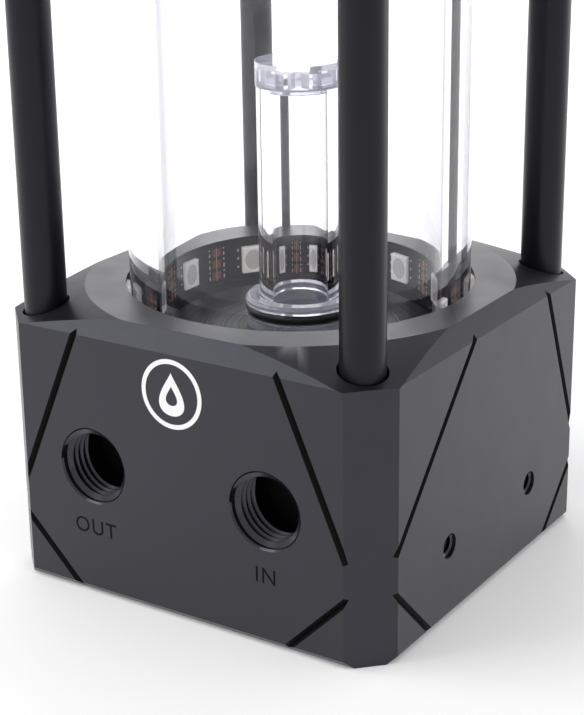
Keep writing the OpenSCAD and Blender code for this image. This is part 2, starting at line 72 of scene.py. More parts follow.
MM = 0.001
TURN = 2 * math.pi

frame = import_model()


def low(node):
    """Lowest corner of a CAD node, in metres."""
    return np.array(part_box(node)[0])


def high(node):
    """Highest corner of a CAD node, in metres."""
    return np.array(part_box(node)[1])


def mount(name):
    """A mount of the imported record, by its name."""
    return next(m for m in frame["record"]["mounts"] if m["name"] == name)


HALF = high("base_block")[0]
LAND_Z = high("base_block")[2]
FLOOR_Z = low("light_strip")[2]


# ------------------------------------------------------------------ mesh tools


def mesh_object(name, verts, faces, body, slot, smooth=True, angle=35):
    """Makes a mesh piece of the given points and faces, smooth up to an angle in degrees,
    and puts it on a CAD body. The slot argument is not used."""
    mesh = bpy.data.meshes.new(name)
    mesh.from_pydata([tuple(v) for v in verts], [], faces)
    mesh.update()
    obj = bpy.data.objects.new(name, mesh)
    bpy.context.scene.collection.objects.link(obj)
    if smooth:
        mesh.shade_smooth()
        mesh.set_sharp_from_angle(angle=math.radians(angle))
    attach(obj, body)
    return obj


def grid_faces(rows, columns, wrap_rows, wrap_columns, start=0):
    """Quads of a grid of points stored row by row, which face the side where the way along the
    rows crosses the way along the columns. A wrapped direction joins its end to its start."""
    r = np.arange(rows if wrap_rows else rows - 1)
    c = np.arange(columns if wrap_columns else columns - 1)
    r, c = [a.ravel() for a in np.meshgrid(r, c, indexing="ij")]
    r2, c2 = (r + 1) % rows, (c + 1) % columns
    quads = np.stack([r * columns + c, r2 * columns + c, r2 * columns + c2, r * columns + c2], 1)
    return (quads + start).tolist()


def rounded(corners, radius, steps=5):
    """Closed outline with its corners rounded: each corner becomes a quadratic curve between the
    points that lie the radius, or a third of the side, before and after it. A further point just
    outside each end keeps the shading of the flat sides flat."""
    p = np.asarray(corners, float)
    before, after = np.roll(p, 1, 0) - p, np.roll(p, -1, 0) - p
    reach = [np.minimum(radius, np.linalg.norm(d, axis=1) / 3) for d in (before, after)]
    cut = np.minimum(*reach)[:, None]
    before /= np.linalg.norm(before, axis=1)[:, None]
    after /= np.linalg.norm(after, axis=1)[:, None]
    a, b = p + before * cut, p + after * cut
    t = np.linspace(0, 1, steps)[None, :, None]
    curve = (1 - t) ** 2 * a[:, None] + 2 * t * (1 - t) * p[:, None] + t**2 * b[:, None]
    held = (a + 0.1 * cut * before)[:, None], (b + 0.1 * cut * after)[:, None]
    return np.concatenate([held[0], curve, held[1]], 1).reshape(-1, 2)


def revolve(name, outline, body, slot, at=(0, 0), segments=192, angle=35):
    """Solid of revolution: a closed outline of radius and height, anticlockwise, is carried
    round the upright axis at the given place."""
    outline = np.asarray(outline, float)
    a = np.linspace(0, TURN, segments, endpoint=False)[:, None]
    r, z = outline[:, 0][None, :], outline[:, 1][None, :]
    points = np.stack([r * np.cos(a) + at[0], r * np.sin(a) + at[1], z + 0 * a], -1)
    faces = grid_faces(segments, len(outline), True, True)
    return mesh_object(name, points.reshape(-1, 3), faces, body, slot, angle=angle)


def box_points(size, lift=0.0):
    """Corners of a block with its back on the plane x = lift, thick along x, wide along y and
    high along z, and its six faces."""
    t, w, h = size
    x, y, z = np.meshgrid([lift, lift + t], [-w / 2, w / 2], [-h / 2, h / 2], indexing="ij")
    faces = [(0, 1, 3, 2), (4, 6, 7, 5), (0, 4, 5, 1), (2, 3, 7, 6), (0, 2, 6, 4), (1, 5, 7, 3)]
    return np.stack([x.ravel(), y.ravel(), z.ravel()], 1), faces


def turned(points, angle):
    """Points turned about the upright axis of the tank by an angle in radians."""
    c, s = math.cos(angle), math.sin(angle)
    return points @ np.array([[c, s, 0], [-s, c, 0], [0, 0, 1]])


def joined(parts):
    """One list of points and one of faces from several (points, faces) pairs."""
    verts, faces, start = [], [], 0
    for p, f in parts:
        verts.append(p)
        faces += [tuple(i + start for i in face) for face in f]
        start += len(p)
    return np.concatenate(verts), faces


def screw_thread(name, start, axis, radius, depth, pitch, run, body, slot, outward=False, per_turn=72):
    """Helical ridge inside a bore, or outward on a shank: a blunt V whose foot lies just behind the
    wall is carried along a right-handed helix, and it dies away into the wall at both ends."""
    count = int(run / pitch * per_turn)
    t = np.linspace(0, run / pitch * TURN, count)[:, None]
    foot, crest = 0.49 * pitch, 0.06 * pitch
    along = np.array([foot, crest, -crest, -foot])[None, :]
    rise = np.array([-0.04 * MM, depth, depth, -0.04 * MM])[None, :]
    fade = np.clip(np.minimum(t, t[-1] - t) / (TURN / 6), 0, 1)
    rise = np.where(rise > 0, rise * fade, rise)
    if outward:
        along, rise = -along, -rise
    up = np.array([0, 0, 1.0]) if abs(axis[2]) < 0.5 else np.array([0, 1.0, 0])
    side = np.cross(up, axis)
    turn = side * np.cos(t)[..., None] + up * np.sin(t)[..., None]
    r = (radius - rise)[..., None]
    points = start + turn * r + axis * (t / TURN * pitch + along)[..., None]
    faces = grid_faces(count, 4, False, True)
    last = (count - 1) * 4
    faces += [(0, 1, 2, 3), (last + 3, last + 2, last + 1, last)]
    return mesh_object(name, points.reshape(-1, 3), faces, body, slot, angle=30)


def clean_copy(node, name):
    """A copy of a CAD node with its loose triangles merged and its flat areas dissolved."""
    source = frame["nodes"][node]
    work = bmesh.new()
    work.from_mesh(source.data)
    bmesh.ops.remove_doubles(work, verts=work.verts, dist=0.002 * MM)
    bmesh.ops.dissolve_limit(
        work, angle_limit=math.radians(0.3), verts=work.verts, edges=work.edges
    )
    mesh = bpy.data.meshes.new(name)
    work.to_mesh(mesh)
    work.free()
    obj = bpy.data.objects.new(name, mesh)
    bpy.context.scene.collection.objects.link(obj)
    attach(obj, source["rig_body"])
    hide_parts(node)
    return obj


def round_edges(obj, radius, angle=28):
    """Breaks the sharp edges of a piece by a small radius."""
    bevel = obj.modifiers.new("broken_edges", "BEVEL")
    bevel.width = radius
    bevel.segments = 2
    bevel.limit_method = "ANGLE"
    bevel.angle_limit = math.radians(angle)
    bevel.use_clamp_overlap = True
    obj.data.shade_smooth()
    obj.data.set_sharp_from_angle(angle=math.radians(12))
    even = obj.modifiers.new("flat_faces_stay_flat", "WEIGHTED_NORMAL")
    even.weight = 100
    even.keep_sharp = True


# -------------------------------------------------------------- material tools


def linear(hex_colour):
    """Linear RGBA of an sRGB hex colour such as #3a3b3d."""
    value = np.array([int(hex_colour[i : i + 2], 16) for i in (1, 3, 5)]) / 255
    low_part, high_part = value / 12.92, ((value + 0.055) / 1.055) ** 2.4
    return (*np.where(value <= 0.04045, low_part, high_part).tolist(), 1.0)


def add(tree, kind, links=None, **settings):
    """Adds a node of a kind. Settings name its properties or input sockets, and links maps an
    input socket's name or number to the output socket that feeds it."""
    node = tree.nodes.new(kind)
    for key, value in settings.items():
        socket = key.replace("_", " ")
        if hasattr(node, key):
            setattr(node, key, value)
        else:
            match = next(s for s in node.inputs if s.name.lower() == socket.lower())
            match.default_value = value
    for key, source in (links or {}).items():
        tree.links.new(source, node.inputs[key])
    return node


def material(name):
    """An empty node material and its tree, with the output node in place."""
    mat = bpy.data.materials.new(name)
    mat.use_nodes = True
    mat.node_tree.nodes.clear()
    return mat, mat.node_tree


def finish_surface(tree, shader):
    """Feeds a shader to the material's output."""
    add(tree, "ShaderNodeOutputMaterial", {"Surface": shader})


def grain(tree, size, detail=2.0, stretch=(1, 1, 1)):
    """Noise on Object coordinates whose grains measure about the given size in metres."""
    place = add(tree, "ShaderNodeTexCoord").outputs["Object"]
    scaled = add(tree, "ShaderNodeMapping", {"Vector": place}, Scale=stretch)
    noise = add(tree, "ShaderNodeTexNoise", {"Vector": scaled.outputs[0]}, Scale=1 / size, Detail=detail)
    return noise.outputs["Fac"]


def spread(tree, value, low_end, high_end):
    """Maps a noise value to the range from low_end to high_end."""
    sockets = {"Value": value}
    node = add(tree, "ShaderNodeMapRange", sockets, From_Min=0.3, From_Max=0.7)
    node.inputs["To Min"].default_value = low_end
    node.inputs["To Max"].default_value = high_end
    return node.outputs["Result"]


def two_tone(tree, value, dark, light):
    """Colour between two sRGB hex values by a noise value."""
    ramp = add(tree, "ShaderNodeValToRGB", {"Fac": value})
    ramp.color_ramp.elements[0].color = linear(dark)
    ramp.color_ramp.elements[0].position = 0.3
    ramp.color_ramp.elements[1].color = linear(light)
    ramp.color_ramp.elements[1].position = 0.7
    return ramp.outputs["Color"]


def bumped(tree, value, depth, strength=1.0):
    """Normal that a height value gives, with the given depth in metres."""
    sockets = {"Height": value}
    return add(tree, "ShaderNodeBump", sockets, Strength=strength, Distance=depth).outputs["Normal"]


def plain_finish(name, dark, light, grain_size, rough, metallic=0.0, depth=0.0, **extra):
    """A finish whose colour and roughness vary with a grain of a real size, in metres."""
    mat, tree = material(name)
    fine = grain(tree, grain_size)
    links = {
        "Base Color": two_tone(tree, fine, dark, light),
        "Roughness": spread(tree, fine, rough - 0.04, rough + 0.04),
    }
    if depth:
        links["Normal"] = bumped(tree, fine, depth)
    shader = add(tree, "ShaderNodeBsdfPrincipled", links, Metallic=metallic, **extra)
    finish_surface(tree, shader.outputs[0])
    return mat


def upward(tree):
    """1 on faces that look straight up, where the lathe has turned the block, else 0."""
    normal = add(tree, "ShaderNodeTexCoord").outputs["Normal"]
    parts = add(tree, "ShaderNodeSeparateXYZ", {"Vector": normal})
    test = add(tree, "ShaderNodeMath", {0: parts.outputs["Z"]}, operation="GREATER_THAN")
    test.inputs[1].default_value = 0.9
    return test.outputs[0]


def inside(tree, reach):
    """1 in the block of space about the axis whose half sizes are given, within the base, else 0. It marks
    where shade is painted in.
    """
    place = add(tree, "ShaderNodeTexCoord").outputs["Object"]
    size = add(tree, "ShaderNodeVectorMath", {0: place}, operation="ABSOLUTE").outputs["Vector"]
    parts = add(tree, "ShaderNodeSeparateXYZ", {"Vector": size})
    product = None
    for axis, limit in zip("XYZ", reach):
        test = add(tree, "ShaderNodeMath", {0: parts.outputs[axis]}, operation="LESS_THAN")
        test.inputs[1].default_value = limit
        product = test.outputs[0] if product is None else add(
            tree, "ShaderNodeMath", {0: product, 1: test.outputs[0]}, operation="MULTIPLY"
        ).outputs[0]
    return product


def turning_marks(tree, pitch):
    """Height of fine rings about the tank's axis, as a lathe leaves them: noise of the distance
    from the axis, with a grain of the given pitch in metres. With it comes 1 within the tank."""
    place = add(tree, "ShaderNodeTexCoord").outputs["Object"]
    parts = add(tree, "ShaderNodeSeparateXYZ", {"Vector": place})
    flat = add(tree, "ShaderNodeCombineXYZ", {"X": parts.outputs["X"], "Y": parts.outputs["Y"]})
    radius = add(tree, "ShaderNodeVectorMath", {0: flat.outputs[0]}, operation="LENGTH")
    rings = add(tree, "ShaderNodeCombineXYZ", {"X": radius.outputs["Value"]})
    noise = add(tree, "ShaderNodeTexNoise", {"Vector": rings.outputs[0]}, Scale=1 / pitch, Detail=3.0)
    within = add(tree, "ShaderNodeMath", {0: radius.outputs["Value"]}, operation="LESS_THAN")
    within.inputs[1].default_value = high("glass_tube")[0]
    return noise.outputs["Fac"], within.outputs[0]


def anodised_aluminium(name, dark, light, rough, grain_size, turned_by=0.0, sheen=0.5, painted_shade_box=None):
    """Black-anodised aluminium: a dark oxide that hides the metal, with a satin grey sheen and a
    fine even grain. On faces that look up, the turned rings stretch the sheen along them. Within
    a given box of space a nearly black, dull material stands in as painted shade."""
    mat, tree = material(name)
    fine = grain(tree, grain_size, detail=3.0)
    broad = grain(tree, 40 * grain_size)
    links = {
        "Base Color": two_tone(tree, broad, dark, light),
        "Roughness": spread(tree, broad, rough - 0.02, rough + 0.02),
        "Normal": bumped(tree, fine, 0.004 * MM, 0.35),
    }
    if turned_by:
        mask = upward(tree)
        marks, within = turning_marks(tree, 0.6 * MM)
        deep_mask = add(tree, "ShaderNodeMath", {0: mask, 1: within}, operation="MULTIPLY").outputs[0]
        rings = add(tree, "ShaderNodeBump", {"Height": marks, "Strength": within}, Distance=0.03 * MM)
        rings = rings.outputs["Normal"]
        polish = spread(tree, marks, rough - 0.2, rough + 0.12)
        links["Roughness"] = add(
            tree, "ShaderNodeMix", {0: deep_mask, 2: links["Roughness"], 3: polish}
        ).outputs[0]
        links["Normal"] = add(
            tree, "ShaderNodeMix", {0: mask, 4: links["Normal"], 5: rings}, data_type="VECTOR"
        ).outputs[1]
        amount = add(tree, "ShaderNodeMath", {0: mask}, operation="MULTIPLY")
        amount.inputs[1].default_value = turned_by
        links["Anisotropic"] = amount.outputs[0]
        tangent = add(tree, "ShaderNodeTangent", direction_type="RADIAL", axis="Z")
        links["Tangent"] = tangent.outputs[0]
    shader = add(
        tree, "ShaderNodeBsdfPrincipled", links, IOR=1.5, Specular_IOR_Level=sheen,
        Specular_Tint=linear("#eeeeff"),
    )
    if painted_shade_box:
        # painted shade: a nearly black, dull material fills the given box of space
        shade = add(
            tree, "ShaderNodeBsdfPrincipled", Base_Color=linear("#060607"), Roughness=0.5,
            Specular_IOR_Level=0.25,
        )
        shader = add(
            tree, "ShaderNodeMixShader", {0: inside(tree, painted_shade_box), 1: shader.outputs[0], 2: shade.outputs[0]}
        )
    finish_surface(tree, shader.outputs[0])
    return mat


def clear_solid(name, tint, edge_tint, ior, rough=0.0, haze=0.0):
    """Clear solid, drawn tube or turned rod: bright reflections and refraction, and a deeper tint
    where the eye looks along the wall. Haze is the share of white scatter that tool marks leave.
    Light for the pieces inside passes it, as it does in the real one."""
    mat, tree = material(name)
    facing = add(tree, "ShaderNodeLayerWeight", Blend=0.35).outputs["Facing"]
    tints = add(tree, "ShaderNodeMix", {0: facing}, data_type="RGBA")
    tints.inputs[6].default_value = linear(tint)
    tints.inputs[7].default_value = linear(edge_tint)
    glass = add(
        tree, "ShaderNodeBsdfPrincipled", {"Base Color": tints.outputs[2]}, Roughness=rough,
        Transmission_Weight=1.0, IOR=ior, Specular_Tint=linear("#b8b8bc"),
    )
    if haze:
        scatter = add(tree, "ShaderNodeBsdfDiffuse", Color=linear("#ececf2"))
        glass = add(
            tree, "ShaderNodeMixShader", {1: glass.outputs[0], 2: scatter.outputs[0]}, Fac=haze
        )
    clear = add(tree, "ShaderNodeBsdfTransparent", Color=linear("#f8f8fb"))
    path = add(tree, "ShaderNodeLightPath")
    passing = add(
        tree, "ShaderNodeMath",
        {0: path.outputs["Is Shadow Ray"], 1: path.outputs["Is Diffuse Ray"]}, operation="MAXIMUM",
    )
    mix = add(
        tree, "ShaderNodeMixShader", {0: passing.outputs[0], 1: glass.outputs[0], 2: clear.outputs[0]}
    )
    finish_surface(tree, mix.outputs[0])
    return mat


def paint(obj, mat):
    """Gives a whole piece one material."""
    for slot in obj.material_slots:
        slot.material = mat
    if not obj.material_slots:
        obj.data.materials.append(mat)


# ------------------------------------------------------------------ properties


def length(name, description, default):
    """A length property, in metres."""
    return bpy.props.FloatProperty(
        name=name, description=description, default=default, unit="LENGTH", precision=5
    )


def tone(name, description, default):
    """A colour property, from an sRGB hex value."""
    return bpy.props.StringProperty(name=name, description=description, default=default)


class ReservoirBlockSettings(bpy.types.PropertyGroup):
    """Finish of the base block and the top cap."""

    dark: tone("Dark tone", "Darker tone of the anodised blocks, as an sRGB hex value", "#0e0e12")
    light: tone("Light tone", "Lighter tone of the anodised blocks, as an sRGB hex value", "#131318")
    rough: bpy.props.FloatProperty(name="Roughness", description="Roughness of the blocks", default=0.4)
    grain: length("Grain", "Size of the blasted grain, drawn coarse enough to show", 0.16 * MM)
    edge: length("Edge radius", "Radius of the broken edges", 0.12 * MM)
    line_depth: length("Line depth", "Greatest depth of the engraved lines", 0.75 * MM)
    # the ports' darkness past this depth is painted shade, not cast shade
    painted_shade_depth: length("Shade depth", "Depth in the ports at which the thread ends in shade", 5.6 * MM)


class ReservoirThreadSettings(bpy.types.PropertyGroup):
    """Threads of the ports, the mounting holes and the plugs."""

    port_pitch: length("Port pitch", "Pitch of the G1/4 thread", 1.337 * MM)
    port_depth: length("Port thread depth", "Radial depth of the G1/4 thread", 0.86 * MM)
    port_run: length("Port thread run", "Length of full thread in a port", 5.6 * MM)
    plug_depth: length("Plug thread depth", "Radial depth of the plugs' G1/4 thread", 0.8 * MM)
    mount_pitch: length("Mount pitch", "Pitch of the M4 thread", 0.7 * MM)
    mount_depth: length("Mount thread depth", "Radial depth of the M4 thread", 0.4 * MM)


class ReservoirTankSettings(bpy.types.PropertyGroup):
    """Clear pieces of the tank."""

    glass: tone("Glass tint", "Tint of the tank tube, as an sRGB hex value", "#fefefe")
    glass_edge: tone("Glass edge tint", "Tint of the tube seen edge on, as an sRGB hex value", "#a0a0b4")
    acrylic: tone("Acrylic tint", "Tint of the riser, as an sRGB hex value", "#fdfdfe")
    acrylic_edge: tone("Acrylic edge tint", "Tint of the riser seen edge on, as an sRGB hex value", "#b4b4c4")
    glass_ior: bpy.props.FloatProperty(name="Glass IOR", description="IOR of the tube", default=1.47)
    acrylic_ior: bpy.props.FloatProperty(name="Acrylic IOR", description="IOR of the riser", default=1.49)
    edge: length("Edge radius", "Radius of the polished edges", 0.3 * MM)


class ReservoirStripSettings(bpy.types.PropertyGroup):
    """Details of the light strip."""

    film: tone("Film", "Tone of the strip's film, as an sRGB hex value", "#141416")
    package: tone("Package", "Tone of the light packages, as an sRGB hex value", "#fbfbf9")
    lens: tone("Lens", "Tone of the cast lens, as an sRGB hex value", "#e2e0da")
    copper: tone("Copper", "Tone of the bare pads, as an sRGB hex value", "#b5613c")
    lens_radius: length("Lens radius", "Radius of the round lens", 2.05 * MM)
    pad_height: length("Pad height", "Height of a copper pad", 1.55 * MM)
    pad_width: length("Pad width", "Width of a copper pad", 1.05 * MM)


class ReservoirMarkSettings(bpy.types.PropertyGroup):
    """Marks on the port face."""

    paint: tone("Paint", "Tone of the painted badge, as an sRGB hex value", "#f4f4f4")
    badge: length("Badge radius", "Outer radius of the round badge", 6.0 * MM)
    line: length("Badge line", "Width of the badge's painted line", 0.8 * MM)
    letters: length("Letter height", "Height of the port labels", 2.8 * MM)


class ReservoirStudioSettings(bpy.types.PropertyGroup):
    """Studio and camera."""

    azimuth: bpy.props.FloatProperty(
        name="Azimuth", description="Turn of the camera to the right of the port face",
        default=math.radians(33.14), subtype="ANGLE",
    )
    elevation: bpy.props.FloatProperty(
        name="Elevation", description="Camera's angle above the horizon",
        default=math.radians(19.02), subtype="ANGLE",
    )
    roll: bpy.props.FloatProperty(
        name="Roll", description="Camera's roll", default=math.radians(-0.76), subtype="ANGLE"
    )
    distance: length("Distance", "Distance of the camera from the point it turns about", 320.2 * MM)
    aim: bpy.props.FloatVectorProperty(
        name="Aim", description="Point that the camera turns about",
        default=(-4.1 * MM, 3.35 * MM, 38.2 * MM), subtype="TRANSLATION",
    )
    lens: bpy.props.FloatProperty(name="Lens", description="Focal length in millimetres", default=88.66)
    sky: bpy.props.FloatProperty(name="Sky", description="Strength of the soft surround", default=0.9)


# ------------------------------------------------------------------- operators


class RESERVOIR_OT_studio(bpy.types.Operator):
    """White floor and surround, soft lamps and the camera"""

    bl_idname = "reservoir.studio"
    bl_label = "Studio"

    def execute(self, context):
        """Builds the stage."""
        s = context.scene.reservoir_studio
        scene = context.scene
        scene.view_settings.view_transform = "Standard"
        self.surround(scene, s)
        self.floor()
        self.lamps()
        self.camera(scene, s)
        return {"FINISHED"}

    def surround(self, scene, s):
        """White to the camera, to gloss and to glass, and softer as a light."""
        world = bpy.data.worlds.new("studio_surround")
        world.use_nodes = True
        scene.world = world
        tree = world.node_tree
        tree.nodes.clear()
        seen = self.seen_directly(tree)
        strength = add(tree, "ShaderNodeMapRange", {"Value": seen})
        strength.inputs["To Min"].default_value = s.sky
        strength.inputs["To Max"].default_value = 1.0
        sky = add(
            tree, "ShaderNodeBackground", {"Strength": strength.outputs["Result"]},
            Color=linear("#ffffff"),
        )
        add(tree, "ShaderNodeOutputWorld", {"Surface": sky.outputs[0]})

    def seen_directly(self, tree):
        """1 for camera, gloss and glass rays, else 0."""
        path = add(tree, "ShaderNodeLightPath")
        both = add(
            tree, "ShaderNodeMath",
            {0: path.outputs["Is Camera Ray"], 1: path.outputs["Is Glossy Ray"]}, operation="MAXIMUM",
        )
        every = add(
            tree, "ShaderNodeMath",
            {0: both.outputs[0], 1: path.outputs["Is Transmission Ray"]}, operation="MAXIMUM",
        )
        return every.outputs[0]

    def floor(self):
        """A round white floor on which the object keeps its shadow. Gloss rays see its own light at
        0.4 against 0.1 for the camera and glass: a painted reflection, brighter than the floor looks.
        """
        span = 3.0
        a = np.linspace(0, TURN, 96, endpoint=False)
        verts = np.stack([span * np.cos(a), span * np.sin(a), 0 * a], 1)
        mesh = bpy.data.meshes.new("studio_floor")
        mesh.from_pydata([tuple(v) for v in verts], [], [tuple(range(len(verts)))])
        obj = bpy.data.objects.new("studio_floor", mesh)
        bpy.context.scene.collection.objects.link(obj)
        mat, tree = material("white_paper_floor_with_painted_reflection")
        seen = self.seen_directly(tree)
        matt = add(tree, "ShaderNodeBsdfDiffuse", Color=linear("#f6f6f6"))
        # painted reflection: gloss rays see the floor's own light at 0.4, the camera and glass at 0.1
        gloss = add(tree, "ShaderNodeLightPath").outputs["Is Glossy Ray"]
        amount = add(tree, "ShaderNodeMapRange", {"Value": gloss})
        amount.inputs["To Min"].default_value = 0.1
        amount.inputs["To Max"].default_value = 0.4
        glow_with_painted_reflection = add(
            tree, "ShaderNodeEmission", {"Strength": amount.outputs["Result"]}, Color=linear("#ffffff")
        )
        lit = add(tree, "ShaderNodeAddShader", {0: matt.outputs[0], 1: glow_with_painted_reflection.outputs[0]})
        mix = add(tree, "ShaderNodeMixShader", {0: seen, 1: matt.outputs[0], 2: lit.outputs[0]})
        finish_surface(tree, mix.outputs[0])
        paint(obj, mat)

    def lamps(self):
        """Soft boxes: above, at the right and at the left, each aimed at the block."""
        boxes = {
            "lamp_front_left": ((-0.54, -0.41, 0.68), 0.62, 3.0),
            "lamp_rear_left": ((-0.46, 0.71, 0.33), 0.6, 1.9),
            "lamp_rear_right": ((0.5, 0.75, 0.06), 0.45, 1.2),
        }
        for name, (place, size, power) in boxes.items():
            light = bpy.data.lights.new(name, "AREA")
            light.shape = "DISK"
            light.size = size
            light.energy = power
            lamp = bpy.data.objects.new(name, light)
            lamp.location = place
            aim = Vector((0, 0, LAND_Z)) - Vector(place)
            lamp.rotation_euler = aim.to_track_quat("-Z", "Y").to_euler()
            bpy.context.scene.collection.objects.link(lamp)

    def camera(self, scene, s):
        """Camera on a sphere round its aim, with a small roll."""
        right = np.array([math.cos(s.azimuth), math.sin(s.azimuth), 0])
        back = np.array([
            math.sin(s.azimuth) * math.cos(s.elevation),
            -math.cos(s.azimuth) * math.cos(s.elevation),
            math.sin(s.elevation),
        ])
        up = np.cross(back, right)
        side = right * math.cos(s.roll) + up * math.sin(s.roll)
        top = up * math.cos(s.roll) - right * math.sin(s.roll)
        data = bpy.data.cameras.new("camera")
        data.sensor_width = 36
        data.lens = s.lens
        data.shift_y = -0.0357
        data.clip_start = 0.01
        cam = bpy.data.objects.new("camera", data)
        turn = Matrix(np.stack([side, top, back], 1).tolist()).to_4x4()
        place = Vector(np.array(s.aim) + back * s.distance)
        cam.matrix_world = Matrix.Translation(place) @ turn
        scene.collection.objects.link(cam)
        scene.camera = cam


class RESERVOIR_OT_blocks(bpy.types.Operator):
    """Base block and top cap with broken edges, in satin anodised aluminium, with painted shade in the V lines
    and within the base
    """

    bl_idname = "reservoir.blocks"
    bl_label = "Blocks"

    def execute(self, context):
        """Builds the blocks."""
        s = context.scene.reservoir_block
        # Painted shade: within this box the base block is nearly black and dull, so the ports end in darkness
        # past the shade depth; the box also takes in the pump's pocket and most of the underside.
        painted_shade_box = (0.8 * HALF, HALF - s.painted_shade_depth, LAND_Z - 14 * MM)
        mat = anodised_aluminium("black_anodised_aluminium_with_painted_shade", s.dark, s.light, s.rough, s.grain, 0.6, painted_shade_box=painted_shade_box)
        gloss = anodised_aluminium("black_anodised_thread", s.dark, s.light, 0.22, s.grain)
        # Painted shade: the V lines' walls and the port labels get a nearly black, dull material, darker and
        # duller than the block.
        cut = plain_finish("engraving_painted_shade", "#060607", "#0a0a0b", 0.1 * MM, 0.6, Specular_IOR_Level=0.08)
        for node in ("base_block", "top_cap"):
            block = clean_copy(node, f"{node}_machined")
            paint(block, mat)
            block.data.materials.append(cut)
            block.data.materials.append(gloss)
            self.paint_shade_into_lines(block.data, s.line_depth)
            round_edges(block, s.edge)
        return {"FINISHED"}

    def paint_shade_into_lines(self, mesh, depth):
        """Paints shade into the V lines: their walls get a nearly black, dull material. They lie just
        behind a side face, and look away from it at a slant."""
        count = len(mesh.polygons)
        centre, normal = np.zeros(3 * count), np.zeros(3 * count)
        mesh.polygons.foreach_get("center", centre)
        mesh.polygons.foreach_get("normal", normal)
        centre, normal = centre.reshape(-1, 3), normal.reshape(-1, 3)
        inset = HALF - np.abs(centre[:, :2])
        slanted = (np.abs(normal[:, :2]) < 0.97) & (np.abs(normal[:, :2]) > 0.3)
        near = (inset > 0.02 * MM) & (inset < depth)
        other = np.roll(inset, 1, axis=1) > 1.5 * MM
        line = (slanted & near & other).any(axis=1)
        z = centre[:, 2]
        for node in ("base_block", "top_cap"):
            line &= (np.abs(z - low(node)[2]) > 1.4 * MM) & (np.abs(z - high(node)[2]) > 3.4 * MM)
        kind = line.astype(np.int32)
        for name in ("in_port", "out_port"):
            port = np.array(mount(name)["pos_m"])
            away = np.hypot(centre[:, 0] - port[0], z - port[2])
            mouth = (away < mount(name)["dims"]["r_mm"] * MM * 1.15) & (centre[:, 1] < 3 * MM - HALF)
            kind[mouth & slanted.any(axis=1)] = 2
        mesh.polygons.foreach_set("material_index", kind)


class RESERVOIR_OT_threads(bpy.types.Operator):
    """Screw threads inside the ports and the mounting holes"""

    bl_idname = "reservoir.threads"
    bl_label = "Threads"

    def execute(self, context):
        """Builds the threads."""
        s = context.scene.reservoir_threads
        mat = bpy.data.materials["black_anodised_thread"]
        for name in ("in_port", "out_port"):
            m = mount(name)
            run = s.port_run
            start = np.array([m["pos_m"][0], -HALF + 0.4 * s.port_pitch, m["pos_m"][2]])
            obj = screw_thread(f"{name}_thread", start, np.array([0, 1.0, 0]), m["dims"]["r_mm"] * MM,
                               s.port_depth, s.port_pitch, run, "reservoir", "anodised_block")
            paint(obj, mat)
        m = mount("side_threads")
        radius = m["dims"]["hole_r_mm"] * MM
        for side, sign in (("front", -1), ("rear", 1)):
            y = sign * m["dims"]["spacing_x_mm"] * MM / 2
            start = np.array([HALF - 0.5 * MM, y, m["pos_m"][2]])
            obj = screw_thread(f"mount_thread_{side}", start, np.array([-1.0, 0, 0]), radius,
                               s.mount_depth, s.mount_pitch, 4.6 * MM, "reservoir", "anodised_block")
            paint(obj, mat)
        return {"FINISHED"}

